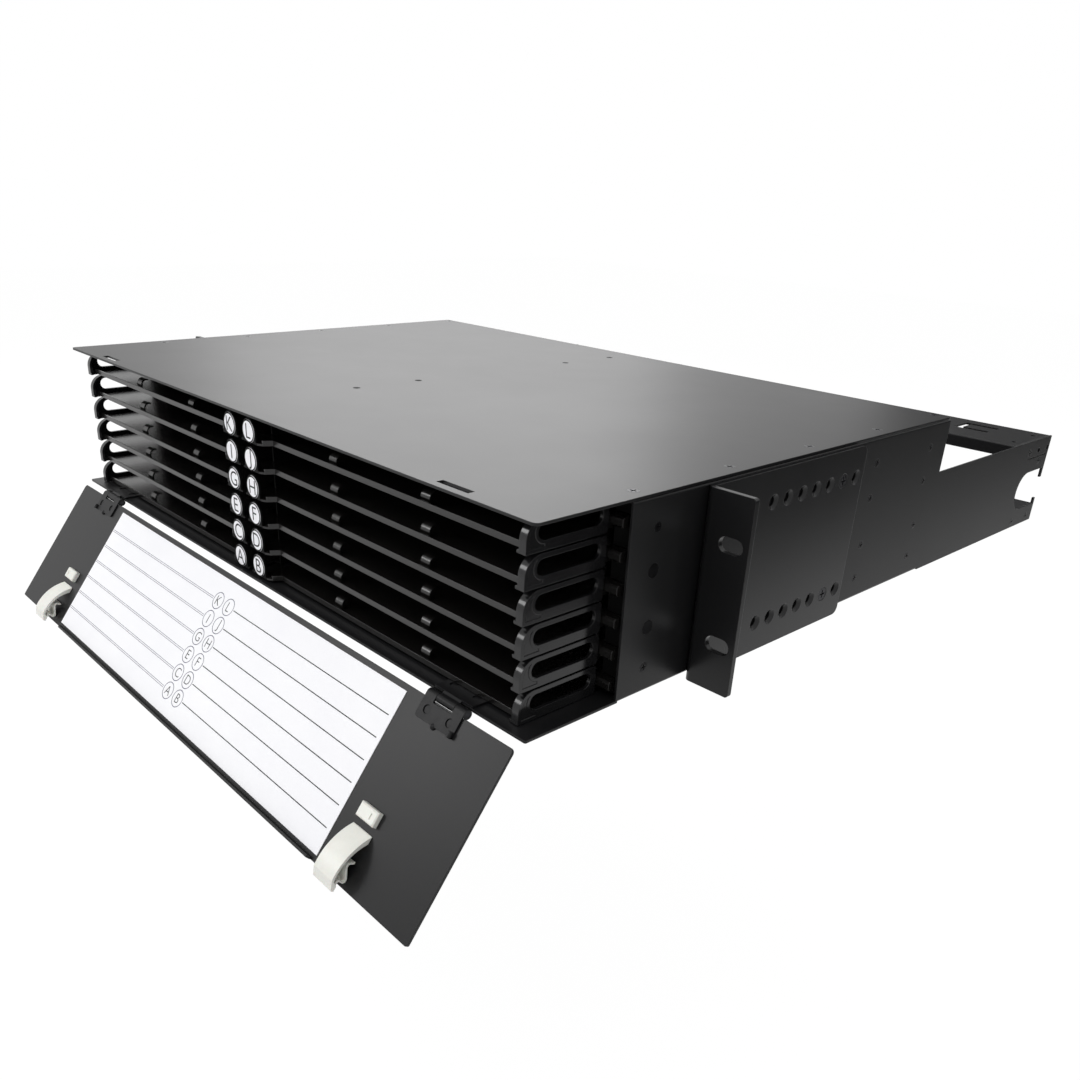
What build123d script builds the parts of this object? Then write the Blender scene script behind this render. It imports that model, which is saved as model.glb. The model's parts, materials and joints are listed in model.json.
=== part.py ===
from build123d import *
import os

# Two-unit rack enclosure for optical fibre: a folded steel chassis with a flat cover, twelve
# half-width trays that slide forward, a drop-down front door with two sprung latches,
# adjustable rack ears and a rear bay with two cable-tie bars.
# Millimetres. X runs to the right as seen from the front, Y to the back and Z up.
# Everything is drawn from the bottom front edge of the chassis and moved at the very end,
# so that the origin lies midway between the four rack slots, on the back face of the ears.

os.makedirs("parts", exist_ok=True)

# Clearances
snug = 0.05                     # between fixed parts that lie against each other
loose = 0.2                     # round a shank in a plain hole
over = 1.0                      # cuts run this far past the face they open

# Rack standard
rack_width = 482.6              # 19 inch panel width
rack_hole_inset = 8.8           # from the panel's edge to the middle of a slot
rack_unit = 44.45

# Chassis and cover
ear_flange = 23.9               # from the side wall to the edge of the ear
body_height = 88.0              # underside of the base to the top of the cover
cover_depth = 309.0             # the cover and the base are this deep
chassis_depth = 466.0           # the side walls run on behind the cover
sheet = 1.2                     # steel sheet of the chassis, cover and door
bend_radius = 1.6               # outer radius of the chassis folds
wall_front = 51.0               # the side walls start here, the corners before it are open
wall_top_flange = 14.0          # flange that the cover is screwed to
rear_wall_height = 57.0         # the side walls are lower behind the cover
cover_corner_radius = 2.5
base_corner_radius = 0.8        # front corners of the base

# Countersunk screws in the cover
cover_screw_inset = 7.4         # from the side of the chassis
cover_screw_first = 58.6        # from the front edge of the cover
cover_screw_last = 4.4          # from the rear edge of the cover
cover_screw_count = 5
cover_screw_head = 5.2
cover_screw_shank = 3.0
cover_screw_length = 2.9
recess_depth = 0.5              # cross recess in every screw head
recess_reach = 0.6              # its length as a share of the head
recess_width = 0.12             # its width as a share of the head

# Fasteners in the side walls, two pairs in each column
side_row_first = 12.1
side_row_pair = 18.3            # between the two of a pair
side_row_step = 43.2            # from one pair to the next
side_guide_inset = 12.8         # columns from both ends of the guides
side_panel_inset = 6.4          # column in front of the rear panel
side_head = 4.4
side_shank = 2.6
side_length = 3.4
clinch_head = 6.4               # the two larger clinch studs in the front column
clinch_depth = 0.9

# Rack ears
ear_over_body = 0.1             # the ears are this much taller than the body
ear_low = -2.4                  # the ears hang this far below the base
ear_front = 95.4                # front face of the ear flange
ear_sheet = 2.5
ear_side_length = 122.5         # how far the ear runs back along the wall
ear_slot_length = 12.0
ear_slot_width = 7.0
ear_corner_radius = 4.0
ear_edge_radius = 1.5
ear_bend_radius = 3.2
ear_hole_first = 47.1           # first adjusting hole behind the ear's front face
ear_hole_pitch = 11.5
ear_hole_count = 7
ear_hole_inset = 15.0           # rows of holes from the lower and upper edge
ear_screw_index = 5             # the screws sit in the sixth hole of each row
ear_hole = 4.4
ear_sink = 7.4                  # countersink diameter of the adjusting holes
ear_screw_head = 7.0
ear_screw_shank = 3.9
ear_screw_length = 4.4
ear_screw_depth = 0.1           # the screw heads lie this far below the ear's face
ear_screw_room = 0.5            # round the screw ends in the guides

# Trays
tray_levels = 6
tray_first = 1.5                # bottom of the lowest cable guide
tray_top_gap = 0.4              # from the highest tray's space to the cover
tray_sheet = 1.0
tray_floor_rise = 0.8           # tray floor above the bottom of its cable guide
tray_front = 8.0
tray_back_inset = 2.0           # from the back of a tray to the back of the guides
tray_lip_height = 2.7           # front lip, the thin bar seen from the front
tray_lip_gap = 0.2              # from the lip to the cable guide
tray_back_lip = 8.0
tray_back_gap = 28.0            # gaps in the rear lip where fibres leave
tray_gap = 1.9                  # from the middle of the enclosure to a tray

# Runners along both edges of a tray and the grooves that hold them
runner_height = 4.4
runner_rise = 3.3               # underside of the runner above the cable guide's bottom
runner_width = 5.0
runner_gap = 0.3                # running clearance round a runner
runner_front = 49.0
runner_chamfer = 0.8
guide_setback = 3.0             # front of the guides behind the front edge of the walls
guide_to_panel = 49.6           # from the back of the guides to the rear panel
guide_back_wall = 1.4
guide_shelf = 1.5               # shelves above and below each groove
guide_face = 3.0                # thickness of the windowed front face
guide_mouth_gap = 0.5           # from the guide to the side wall of a tray

# Index tongue and disc at the inner front corner of each tray
tongue_front = 2.3
tongue_width = 15.6
tongue_back = 18.0
slant_near = 3.0                # the slanted end of the lip, from the side of the tongue
slant_far = 5.4
slant_front = 1.5               # from the front of the tongue to the slanted end
disc_radius = 5.8
disc_thickness = 0.4
disc_rise = 6.4
disc_tab_radius = 6.3

# Cable hooks lanced up from the tray floor
hook_width = 6.0
hook_first = 72.0
hook_spacing = 69.0
hook_front = 10.6
hook_rise = 2.0                 # straight part of the hook
hook_radius = 3.4
hook_curl = 1.2                 # the roll ends this far past its highest point
hook_sheet = 0.9

# Cable guide, a moulded ring at the outer front corner of each tray
ring_side_gap = 8.5             # from the side plate to the line of the side wall
ring_front = 5.0
ring_back = 48.5
ring_gap = 0.85                 # between one ring and the next
ring_wall = 1.7                 # side plate of the ring
ring_face_width = 3.7           # front face of the ring, across
ring_face = 1.6
ring_front_radius = 8.3
ring_rear_radius = 1.5
ring_eye_front = 11.0
ring_eye_back = 45.2
ring_eye_low = 4.2
ring_eye_high = 11.2
ring_foot = 1.2                 # small foot beside the front face
ring_foot_height = 1.3
ring_base_back = 34.0
ring_rim = 1.4                  # rim round the eye
ring_pocket = 0.25              # depth of the pocket between the face and the rim
ring_tray_gap = 0.2             # from the side plate to the tray floor

# Door
door_side_gap = 1.5             # the door is narrower than the chassis on each side
door_top_gap = 2.0
door_low = 1.2                  # lower edge of the closed door
door_gap = 0.7                  # closed door to the front edge of the cover
door_corner_radius = 2.0
door_open_angle = 142.7
door_lip = 2.2                  # folded edge between the latches
door_lip_end = 18.6             # from the end of the lip to the middle of the latch
hinge_y = -2.0
hinge_z = -0.8
hinge_inset = 43.9              # from the side wall to the middle of the hinge
hinge_width = 24.6
hinge_sheet = 0.9
hinge_barrel = 2.2              # outer radius of the rolled knuckle
hinge_pin = 1.15
hinge_fit = 0.05
hinge_middle = 11.5             # width of the middle knuckle
hinge_side_gap = 0.25
hinge_room = 0.1                # round the hinge in the door, the base and its own leaves
hinge_corner = 1.5
hinge_bump = 1.5                # radius of the bump at the free edge of the door leaf
hinge_curl = 1.2                # radius of the small roll at its outer corner
hinge_curl_bore = 0.6
hinge_curl_length = 2.8
hinge_curl_over = 0.4           # it reaches this far past the free edge
door_leaf_length = 11.4         # from the pin to the free edge of the door leaf
base_leaf_length = 14.0
hinge_rivet_spacing = 14.8
hinge_rivet_head = 3.8
hinge_rivet_head_depth = 0.3
hinge_rivet_sink = 0.45         # the heads lie this deep in the leaf
hinge_rivet_shank = 2.2
hinge_rivet_tail = 3.4
hinge_rivet_tail_rise = 0.6
door_rivet_at = 6.6             # from the pin, along the leaf
base_rivet_at = 9.0

# Label on the inside of the door
label_latch_gap = 9.7           # from the label's edge to the latch
label_low = 2.8
label_high = 81.8
label_thickness = 0.25

# Latches on the inside of the door, measured up the door from its lower edge
latch_inset = 50.8              # from the side wall to the middle of the latch
latch_width = 13.4
latch_sheet = 1.3
latch_foot = 60.6
latch_foot_length = 3.4         # how far the foot reaches along the door
latch_nose = 4.1                # from the crown to the tip
latch_rise = 8.5                # height of the crown above the door
latch_middle_rise = 7.3
latch_tip_rise = 6.2
latch_tip_gap = 0.3             # from the tip to the top of the cover
latch_catch = 1.4               # thickness of the catch
latch_catch_depth = 2.4
latch_catch_gap = 0.2           # from the catch to the edge that it holds behind
latch_press = 0.8               # the pressed catch passes this far below the cover
latch_clearance = 0.15          # between the latch and the door
latch_stem = 10.0               # width of the stem that passes through the door
latch_stem_inset = 1.9          # behind the front of the foot, so that the foot hides its slot
latch_hook = 4.0                # length of the hook behind the door
latch_hook_sheet = 0.9
spring_sheet = 0.9
spring_side_inset = 0.7
spring_bend = 0.9
spring_length = 6.6             # from the crown to the bend under the arch
spring_low = 0.9                # rise of the spring's bend on the door
spring_high = 3.9               # rise of its bend under the arch
keeper_width = 12.2
keeper_low = 50.5
keeper_high = 57.0
keeper_rise = 2.8
keeper_edge = 0.6
keeper_mark = 0.6               # width of the fine slit in the keeper
keeper_mark_length = 2.6
cover_slot_width = 19.2
cover_slot_depth = 3.4

# Middle divider, rear panel and rear bars
divider_front = 20.0
divider_flange = 22.0
divider_foot = 5.6
divider_rivet_x = -13.0
divider_rivet_first = 81.0
divider_rivet_pair = 42.5       # between the two of a pair
divider_rivet_step = 163.0      # from one pair to the next
divider_rivet_head = 4.0
divider_rivet_shank = 2.4
divider_rivet_reach = 2.0       # below the underside of the cover
rear_panel_inset = 11.4         # from the rear panel to the rear edge of the cover
rear_panel_flange = 13.0
rear_panel_corner = 1.0
rear_window_inner = 16.0
rear_window_margin = 16.2       # from the window to the side wall
rear_window_low = 14.0
rear_window_high = 74.0
rear_window_radius = 10.0
bar_depth = 53.5
top_bar_flange = 7.5
top_bar_tab = 17.0
bottom_bar_height = 11.3
bar_rear_flange = 3.4
bar_fold = 0.5                  # overlap of a bar's flanges with its plate
bar_bend = 0.9                  # outer radius of its folds
tie_slot = 4.4
tie_corner = 1.2
tie_tongue_length = 22.0
tie_tongue_width = 10.6
tie_pitch = 59.0
tie_count = 7
tie_line = 20.7                 # middle of the tie tongues in front of the bar's rear edge
bar_hole = 3.0
bar_screw_near = 8.9            # from the rear end of the wall to the bars' screws
bar_screw_middle = 11.9
bar_screw_far = 30.6
bar_screw_low = 4.1             # from the base
bar_screw_drop = 14.7           # from the top of the wall
bar_row_drop = 7.3              # from the top of the wall to the upper row
bar_hole_near = 2.9
bar_hole_far = 16.5
bar_slit_drop = 11.5
bar_slit_width = 0.6
bar_plate_hole_end = 12.0       # holes in the plate, from the bar's long edges
bar_plate_hole_inset = 6.0

# Cable cut-out at the rear end of each side wall
cutout_depth = 36.3
cutout_low = 11.6
cutout_high = 36.0
cutout_mouth_low = 15.2
cutout_mouth_high = 29.6
cutout_lip = 2.4

# Places that follow from the sizes above
half_width = rack_width / 2 - ear_flange         # outer face of each side wall
inner_half = half_width - sheet
under_cover = body_height - sheet
wall_in = inner_half - snug                      # outer face of what is fixed to a side wall
cover_screw_x = half_width - cover_screw_inset
cover_screw_reach = cover_depth - cover_screw_last - cover_screw_first
rear_panel_y = cover_depth - rear_panel_inset
guide_back = rear_panel_y - guide_to_panel
tray_back = guide_back - tray_back_inset
ear_in = half_width + snug
ear_back = ear_front + ear_sheet
ear_height = body_height + ear_over_body
ear_middle = ear_low + ear_height / 2
ear_screw_y = ear_front + ear_hole_first + ear_hole_pitch * ear_screw_index
ear_hole_rows = (ear_low + ear_hole_inset, ear_low + ear_height - ear_hole_inset)
home = Pos(0, -ear_back, -ear_middle)
tray_pitch = (under_cover - tray_first - tray_top_gap) / tray_levels
ring_outer = inner_half - ring_side_gap
ring_inner = ring_outer - ring_wall
ring_height = tray_pitch - ring_gap
tray_outer = ring_inner - ring_tray_gap
outer_wall_line = tray_outer - tray_lip_gap      # outer face of a tray's outer side wall
inner_wall_line = tray_gap + runner_width + guide_mouth_gap
disc_x = tray_gap + tongue_width / 2
slant_start = (tray_gap + tongue_width + slant_near, tongue_front + slant_front)
slant_end = (tray_gap + tongue_width + slant_far, tray_front)
hook_places = (hook_first, hook_first + hook_spacing)
divider_face = sheet / 2 + snug                  # back of the guides on the middle divider
guide_front = wall_front + guide_setback
guide_low = 2 * sheet + 2 * snug
guide_high = body_height - cover_screw_length - loose
side_rows = [side_row_first + step + rise for step in (0, side_row_step) for rise in (0, side_row_pair)]
front_column = guide_front + side_guide_inset
middle_column = guide_back - side_guide_inset
rear_column = rear_panel_y - side_panel_inset
divider_rivets = [divider_rivet_first + step + rise
                  for step in (0, divider_rivet_step) for rise in (0, divider_rivet_pair)]
bar_front = chassis_depth - bar_depth
bar_row_z = rear_wall_height - bar_row_drop
bottom_bar_screws = ((chassis_depth - bar_screw_far, bar_screw_low),
                     (chassis_depth - bar_screw_near, bar_screw_low))
top_bar_screws = ((chassis_depth - bar_screw_middle, rear_wall_height - bar_screw_drop),
                  (chassis_depth - bar_screw_far, bar_row_z))
bar_holes = ((chassis_depth - bar_hole_far, bar_row_z), (chassis_depth - bar_hole_near, bar_row_z))
hinge_x = half_width - hinge_inset
hinge_leaf_front = hinge_y + hinge_barrel + hinge_room + snug
hinge_leaf_top = sheet + hinge_sheet
latch_x = half_width - latch_inset
door_half_width = half_width - door_side_gap
door_height = body_height - door_low - door_top_gap
door_inner = -door_gap                           # inner face of the closed door
label_half_width = latch_x - latch_width / 2 - label_latch_gap
latch_tip = body_height - latch_tip_gap - door_low
latch_crown = latch_tip - latch_nose
latch_travel = sheet - latch_tip_gap + latch_press
latch_span = (latch_x - latch_width / 2, latch_x + latch_width / 2)
stem_low = latch_foot + latch_stem_inset
stem_high = stem_low + latch_sheet
cover_slot_front = door_inner + latch_tip_rise - latch_catch - latch_catch_gap


def block(x, y, z):
    """A box between two X, two Y and two Z values."""
    size = (x[1] - x[0], y[1] - y[0], z[1] - z[0])
    middle = ((x[0] + x[1]) / 2, (y[0] + y[1]) / 2, (z[0] + z[1]) / 2)
    return Pos(*middle) * Box(*size)


def rectangle(x, y):
    """A flat rectangle between two X and two Y values of the sketch."""
    return Pos((x[0] + x[1]) / 2, (y[0] + y[1]) / 2) * Rectangle(x[1] - x[0], y[1] - y[0])


def along_y(sketch, start, end):
    """Extrude a sketch drawn in X and Z from one Y to another."""
    return Pos(0, end, 0) * extrude(Plane.XZ * sketch, end - start)


def along_x(sketch, start, end):
    """Extrude a sketch drawn in Y and Z from one X to another."""
    return Pos(start, 0, 0) * extrude(Plane.YZ * sketch, end - start)


def along_z(sketch, start, end):
    """Extrude a sketch drawn in X and Y from one Z to another."""
    return Pos(0, 0, start) * extrude(sketch, end - start)


def rod_x(y, z, radius, start, end):
    """A round rod along X."""
    return along_x(Pos(y, z) * Circle(radius), start, end)


def rod_z(x, y, radius, low, high):
    """An upright round rod."""
    return along_z(Pos(x, y) * Circle(radius), low, high)


def both_sides(solid):
    """A solid and its mirror image on the other side of the enclosure."""
    return [solid, mirror(solid, Plane.YZ)]


def span_about(middle, width):
    return (middle - width / 2, middle + width / 2)


def grown(span, gap):
    return (span[0] - gap, span[1] + gap)


# Fasteners, drawn upright with the face of the head on the origin
def countersunk_shape(head, shank, length):
    slope = (head - shank) / 2
    points = ((0, 0), (head / 2, 0), (shank / 2, -slope), (shank / 2, -length), (0, -length))
    return revolve(Plane.XZ * make_face(Polyline(*points, close=True)), Axis.Z)


def screw(head, shank, length):
    """A countersunk screw with a cross recess."""
    body = countersunk_shape(head, shank, length)
    for angle in (0, 90):
        body -= Rot(0, 0, angle) * Box(head * recess_reach, head * recess_width, 2 * recess_depth)
    return body


def screw_seat(head, shank, length):
    return countersunk_shape(head + 2 * snug, shank + 2 * snug, length + over)


def clinch_shape(head, shank, length, depth):
    """A stud with a flat head that is pressed flush into the sheet."""
    disc = Pos(0, 0, -depth / 2) * Cylinder(head / 2, depth)
    return disc + Pos(0, 0, -length / 2) * Cylinder(shank / 2, length)


def into_wall(solid, y, z, face=half_width):
    """Turn an upright fastener so that its head lies in the right-hand side wall."""
    return Pos(face, y, z) * Rot(0, 90, 0) * solid


def is_clinch(y, z):
    return y == front_column and z in side_rows[1:3]


def side_places():
    places = [(y, z) for y in (front_column, middle_column, rear_column) for z in side_rows]
    return places + list(bottom_bar_screws + top_bar_screws)


def cover_screw_places():
    pitch = cover_screw_reach / (cover_screw_count - 1)
    return [cover_screw_first + pitch * i for i in range(cover_screw_count)]


# Chassis: base, side walls with the flanges for the cover, and the lower walls of the rear bay
def chassis_section():
    outer = fillet(rectangle((-half_width, half_width), (0, under_cover)).vertices(), bend_radius)
    inner = rectangle((-inner_half, inner_half), (sheet, under_cover - sheet))
    inner = fillet(inner.vertices(), bend_radius - sheet)
    mouth = half_width - wall_top_flange
    return outer - inner - rectangle((-mouth, mouth), (body_height / 2, body_height))


def cable_cutout():
    """The C-shaped cut-out, narrower at its mouth, drawn in Y and Z."""
    lip_line = chassis_depth - cutout_lip
    opening = rectangle((chassis_depth - cutout_depth, lip_line), (cutout_low, cutout_high))
    front_corners = opening.vertices().group_by(Axis.X)[0]
    opening = fillet(front_corners, (cutout_high - cutout_low) / 2 - snug)
    mouth = rectangle((lip_line - over, chassis_depth + over), (cutout_mouth_low, cutout_mouth_high))
    return opening + mouth


def hinge_span(extra=0.0):
    return grown(span_about(hinge_x, hinge_width), extra)


def hinge_rivet_places():
    return span_about(hinge_x, hinge_rivet_spacing)


def wall_cuts():
    """Everything that is cut out of the right-hand side wall."""
    span = grown((inner_half, half_width), over)
    cuts = [along_x(cable_cutout(), *span)]
    slit = (chassis_depth - bar_screw_far, chassis_depth - bar_hole_near)
    cuts.append(block(span, slit, span_about(rear_wall_height - bar_slit_drop, bar_slit_width)))
    for y, z in bar_holes:
        cuts.append(rod_x(y, z, bar_hole / 2, *span))
    for y, z in side_places():
        if is_clinch(y, z):
            seat = clinch_shape(clinch_head + 2 * snug, side_shank + 2 * snug, side_length, clinch_depth)
        else:
            seat = screw_seat(side_head, side_shank, side_length)
        cuts.append(into_wall(seat, y, z))
    for z in ear_hole_rows:
        cuts.append(rod_x(ear_screw_y, z, ear_screw_shank / 2 + snug, *span))
    return cuts


def base_cuts():
    """Notch and rivet holes for the right-hand hinge."""
    back = hinge_y + hinge_barrel + hinge_room
    cuts = [block(hinge_span(hinge_room), (-over, back), (-over, sheet + over))]
    for x in hinge_rivet_places():
        cuts.append(rod_z(x, hinge_y + base_rivet_at, hinge_rivet_shank / 2 + snug, -over, sheet + over))
    return cuts


def make_chassis():
    body = along_y(chassis_section(), wall_front, cover_depth)
    floor = rectangle((-half_width, half_width), (0, wall_front + over))
    floor = fillet(floor.vertices().group_by(Axis.Y)[0], base_corner_radius)
    body += along_z(floor, 0, sheet)
    wall = block((inner_half, half_width), (cover_depth - over, chassis_depth), (0, rear_wall_height))
    body += both_sides(wall)
    cuts = wall_cuts() + base_cuts()
    for y in cover_screw_places():
        radius = cover_screw_shank / 2 + snug
        cuts.append(rod_z(cover_screw_x, y, radius, under_cover - sheet - over, body_height))
    for cut in cuts:
        body -= both_sides(cut)
    return body


def make_cover():
    outline = rectangle((-half_width, half_width), (0, cover_depth))
    outline = fillet(outline.vertices(), cover_corner_radius)
    body = along_z(outline, under_cover, body_height)
    slot_back = cover_slot_front + cover_slot_depth
    cuts = both_sides(block(span_about(latch_x, cover_slot_width), (cover_slot_front, slot_back),
                            (under_cover - over, body_height + over)))
    seat = screw_seat(cover_screw_head, cover_screw_shank, cover_screw_length)
    for y in cover_screw_places():
        cuts += both_sides(Pos(cover_screw_x, y, body_height) * seat)
    for y in divider_rivets:
        radius = divider_rivet_head / 2 + snug
        cuts.append(rod_z(divider_rivet_x, y, radius, under_cover - over, body_height + over))
    return body - cuts


def make_screws():
    """Ten cover screws and four ear screws."""
    cover = screw(cover_screw_head, cover_screw_shank, cover_screw_length)
    ear = screw(ear_screw_head, ear_screw_shank, ear_screw_length)
    ear_face = ear_in + ear_sheet - ear_screw_depth
    solids = []
    for y in cover_screw_places():
        solids += both_sides(Pos(cover_screw_x, y, body_height) * cover)
    for z in ear_hole_rows:
        solids += both_sides(into_wall(ear, ear_screw_y, z, ear_face))
    return solids


def make_side_studs():
    solids = []
    for y, z in side_places():
        if is_clinch(y, z):
            stud = clinch_shape(clinch_head, side_shank, side_length, clinch_depth)
        else:
            stud = screw(side_head, side_shank, side_length)
        solids += both_sides(into_wall(stud, y, z))
    return solids


# Rack ears
def ear_blank():
    """The folded ear, a flange in front of the rack rail and a long side on the wall."""
    back = ear_front + ear_side_length
    outer = rack_width / 2
    side = ear_in + ear_sheet
    points = ((ear_in, ear_front), (outer, ear_front), (outer, ear_back), (side, ear_back),
              (side, back), (ear_in, back))
    face = make_face(Polyline(*points, close=True))
    bend = face.vertices().sort_by_distance((ear_in, ear_front))[0]
    body = along_z(fillet(bend, ear_bend_radius), ear_low, ear_low + ear_height)
    rear_corners = body.edges().filter_by(Axis.X).group_by(Axis.Y)[-1]
    body = fillet(rear_corners, ear_corner_radius)
    outer_corners = body.edges().filter_by(Axis.Y).group_by(Axis.X)[-1]
    return fillet(outer_corners, ear_edge_radius)


def make_ear():
    body = ear_blank()
    slot = SlotOverall(ear_slot_length, ear_slot_width)
    slot_x = rack_width / 2 - rack_hole_inset
    for z in span_about(ear_middle, rack_unit):
        body -= along_y(Pos(slot_x, z) * slot, ear_front - over, ear_back + over)
    hole = countersunk_shape(ear_sink, ear_hole, ear_sheet + over)
    for z in ear_hole_rows:
        for i in range(ear_hole_count):
            y = ear_front + ear_hole_first + ear_hole_pitch * i
            body -= into_wall(hole, y, z, ear_in + ear_sheet)
    return body


# Middle divider, with the flange that the cover rivets go through
def make_divider():
    half = sheet / 2
    flange_low = under_cover - sheet
    points = ((half, sheet), (half, under_cover), (-divider_flange, under_cover),
              (-divider_flange, flange_low), (-half, flange_low), (-half, 2 * sheet),
              (-divider_foot, 2 * sheet), (-divider_foot, sheet))
    face = make_face(Polyline(*points, close=True))
    bends = face.vertices().group_by(Axis.X)[-1]
    body = along_y(fillet(bends, sheet / 2), divider_front, guide_back)
    body += block((-divider_flange, half), (guide_back - over, rear_panel_y), (flange_low, under_cover))
    for y in divider_rivets:
        radius = divider_rivet_shank / 2 + snug
        body -= rod_z(divider_rivet_x, y, radius, flange_low - over, under_cover + over)
    return body


def make_divider_rivets():
    solids = []
    for y in divider_rivets:
        head = rod_z(divider_rivet_x, y, divider_rivet_head / 2, under_cover, body_height)
        low = under_cover - divider_rivet_reach
        shank = rod_z(divider_rivet_x, y, divider_rivet_shank / 2, low, under_cover)
        solids.append(head + shank)
    return solids


# Guides: moulded racks of six grooves with a windowed front face
def groove_span(index):
    """Lowest and highest point of a groove."""
    low = tray_first + tray_pitch * index + runner_rise
    return grown((low, low + runner_height), runner_gap)


def guide_blank(back, mouth):
    """A rack of grooves open towards the tray, from its back plane to the mouth of the grooves."""
    towards = 1 if mouth > back else -1
    groove_end = back + towards * guide_back_wall
    height = (guide_low, guide_high)
    section = rectangle(sorted((back, groove_end)), height)
    face = rectangle(sorted((back, mouth)), height)
    for index in range(tray_levels):
        groove = rectangle(sorted((groove_end, mouth)), groove_span(index))
        face -= groove
        section += rectangle(sorted((back, mouth)), grown(groove_span(index), guide_shelf)) - groove
    section &= rectangle(sorted((back, mouth)), height)
    return along_y(section, guide_front, guide_back) + along_y(face, guide_front, guide_front + guide_face)


def make_side_guide():
    body = guide_blank(wall_in, outer_wall_line + guide_mouth_gap)
    reach = half_width - side_length - over
    for y in (front_column, middle_column):
        for z in side_rows:
            body -= rod_x(y, z, side_shank / 2 + snug, reach, half_width)
    for z in ear_hole_rows:
        body -= rod_x(ear_screw_y, z, ear_screw_shank / 2 + ear_screw_room, reach, half_width)
    return body


def make_centre_guide():
    return guide_blank(divider_face, inner_wall_line - guide_mouth_gap)


# Trays, drawn for the right-hand column at the lowest level
def tray_section(low):
    """Floor and both side walls, drawn in X and Z."""
    wall = (low, tray_first + runner_rise + runner_height)
    section = rectangle((inner_wall_line, outer_wall_line), (low, low + tray_sheet))
    section += rectangle((outer_wall_line - tray_sheet, outer_wall_line), wall)
    return section + rectangle((inner_wall_line, inner_wall_line + tray_sheet), wall)


def make_runners():
    """The two rails that run in the grooves, joined to the side walls of the tray."""
    low = tray_first + runner_rise
    half_wall = tray_sheet / 2
    outer = (outer_wall_line - half_wall, wall_in - guide_back_wall - runner_gap)
    inner = (divider_face + guide_back_wall + runner_gap, inner_wall_line + half_wall)
    runners = []
    for span in (outer, inner):
        runner = along_y(rectangle(span, (low, low + runner_height)), runner_front, tray_back)
        front_edges = runner.edges().filter_by(Axis.X).group_by(Axis.Y)[0]
        runners.append(chamfer(front_edges, runner_chamfer))
    return runners


def make_tray():
    low = tray_first + tray_floor_rise
    top = low + tray_sheet
    tongue = (tray_gap, tray_gap + tongue_width)
    body = along_y(tray_section(low), runner_front, tray_back)
    body += make_runners()
    floor = rectangle((inner_wall_line, tray_outer), (tray_front, runner_front + over))
    floor += rectangle(tongue, (tongue_front, tongue_back))
    shoulder = ((tongue[1] - over, tongue_front), (tongue[1], tongue_front), slant_start, slant_end,
                (slant_end[0], tray_front + over), (tongue[1] - over, tray_front + over))
    floor += make_face(Polyline(*shoulder, close=True))
    body += along_z(floor, low, top)
    body += make_lip(low)
    body += make_index_tab(low)
    for x in hook_places:
        body += make_hook(x, low, top)
    for piece in make_back_lip(low):
        body += piece
    return body


def make_lip(low):
    """The low front lip, whose end slants forward beside the index tongue."""
    end = ring_outer - ring_face_width - tray_lip_gap
    back = tray_front + tray_sheet
    points = (slant_start, slant_end, (end, tray_front), (end, back),
              (slant_end[0] - tray_sheet / 2, back), (slant_start[0] - tray_sheet, slant_start[1]))
    return along_z(make_face(Polyline(*points, close=True)), low, low + tray_lip_height)


def make_index_tab(low):
    """The upright tab that carries the index disc."""
    centre = tray_first + disc_rise
    tab = Pos(disc_x, centre) * Circle(disc_tab_radius)
    tab += rectangle(span_about(disc_x, 2 * disc_tab_radius), (low, centre))
    tab &= rectangle(span_about(disc_x, tongue_width), (low, low + tray_pitch))
    return along_y(tab, tongue_front, tongue_front + tray_sheet)


def make_hook(x, low, floor):
    """A strip lanced up from the floor and rolled towards the back."""
    centre_y = hook_front + hook_radius
    centre_z = floor + hook_rise
    roll = Pos(centre_y, centre_z) * (Circle(hook_radius) - Circle(hook_radius - hook_sheet))
    quarter = rectangle((hook_front, centre_y + hook_curl), (centre_z, centre_z + hook_radius))
    post = rectangle((hook_front, hook_front + hook_sheet), (low + tray_sheet / 2, centre_z))
    return along_x((roll & quarter) + post, *span_about(x, hook_width))


def make_back_lip(low):
    """The rear edge, folded up in three lengths so that fibres can leave between them."""
    length = (outer_wall_line - inner_wall_line - 2 * tray_back_gap) / 3
    pieces = []
    for index in range(3):
        start = inner_wall_line + index * (length + tray_back_gap)
        height = (low, low + tray_back_lip)
        pieces.append(block((start, start + length), (tray_back - tray_sheet, tray_back), height))
    return pieces


def make_disc():
    centre = tray_first + disc_rise
    return along_y(Pos(disc_x, centre) * Circle(disc_radius), tongue_front - disc_thickness, tongue_front)


def ring_outline():
    """Side view of the cable guide, drawn in Y and Z, with a large radius at its upper front corner."""
    outline = rectangle((ring_front, ring_back), (tray_first, tray_first + ring_height))
    rear = outline.vertices().group_by(Axis.X)[-1]
    outline = fillet(rear, ring_rear_radius)
    nose = outline.vertices().sort_by_distance((ring_front, tray_first + ring_height))[0]
    return fillet(nose, ring_front_radius)


def ring_eye(rim):
    """The long eye of the cable guide with a rim round it, drawn in Y and Z."""
    middle = ((ring_eye_front + ring_eye_back) / 2, tray_first + (ring_eye_low + ring_eye_high) / 2)
    length = ring_eye_back - ring_eye_front + 2 * rim
    return Pos(*middle) * SlotOverall(length, ring_eye_high - ring_eye_low + 2 * rim)


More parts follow.
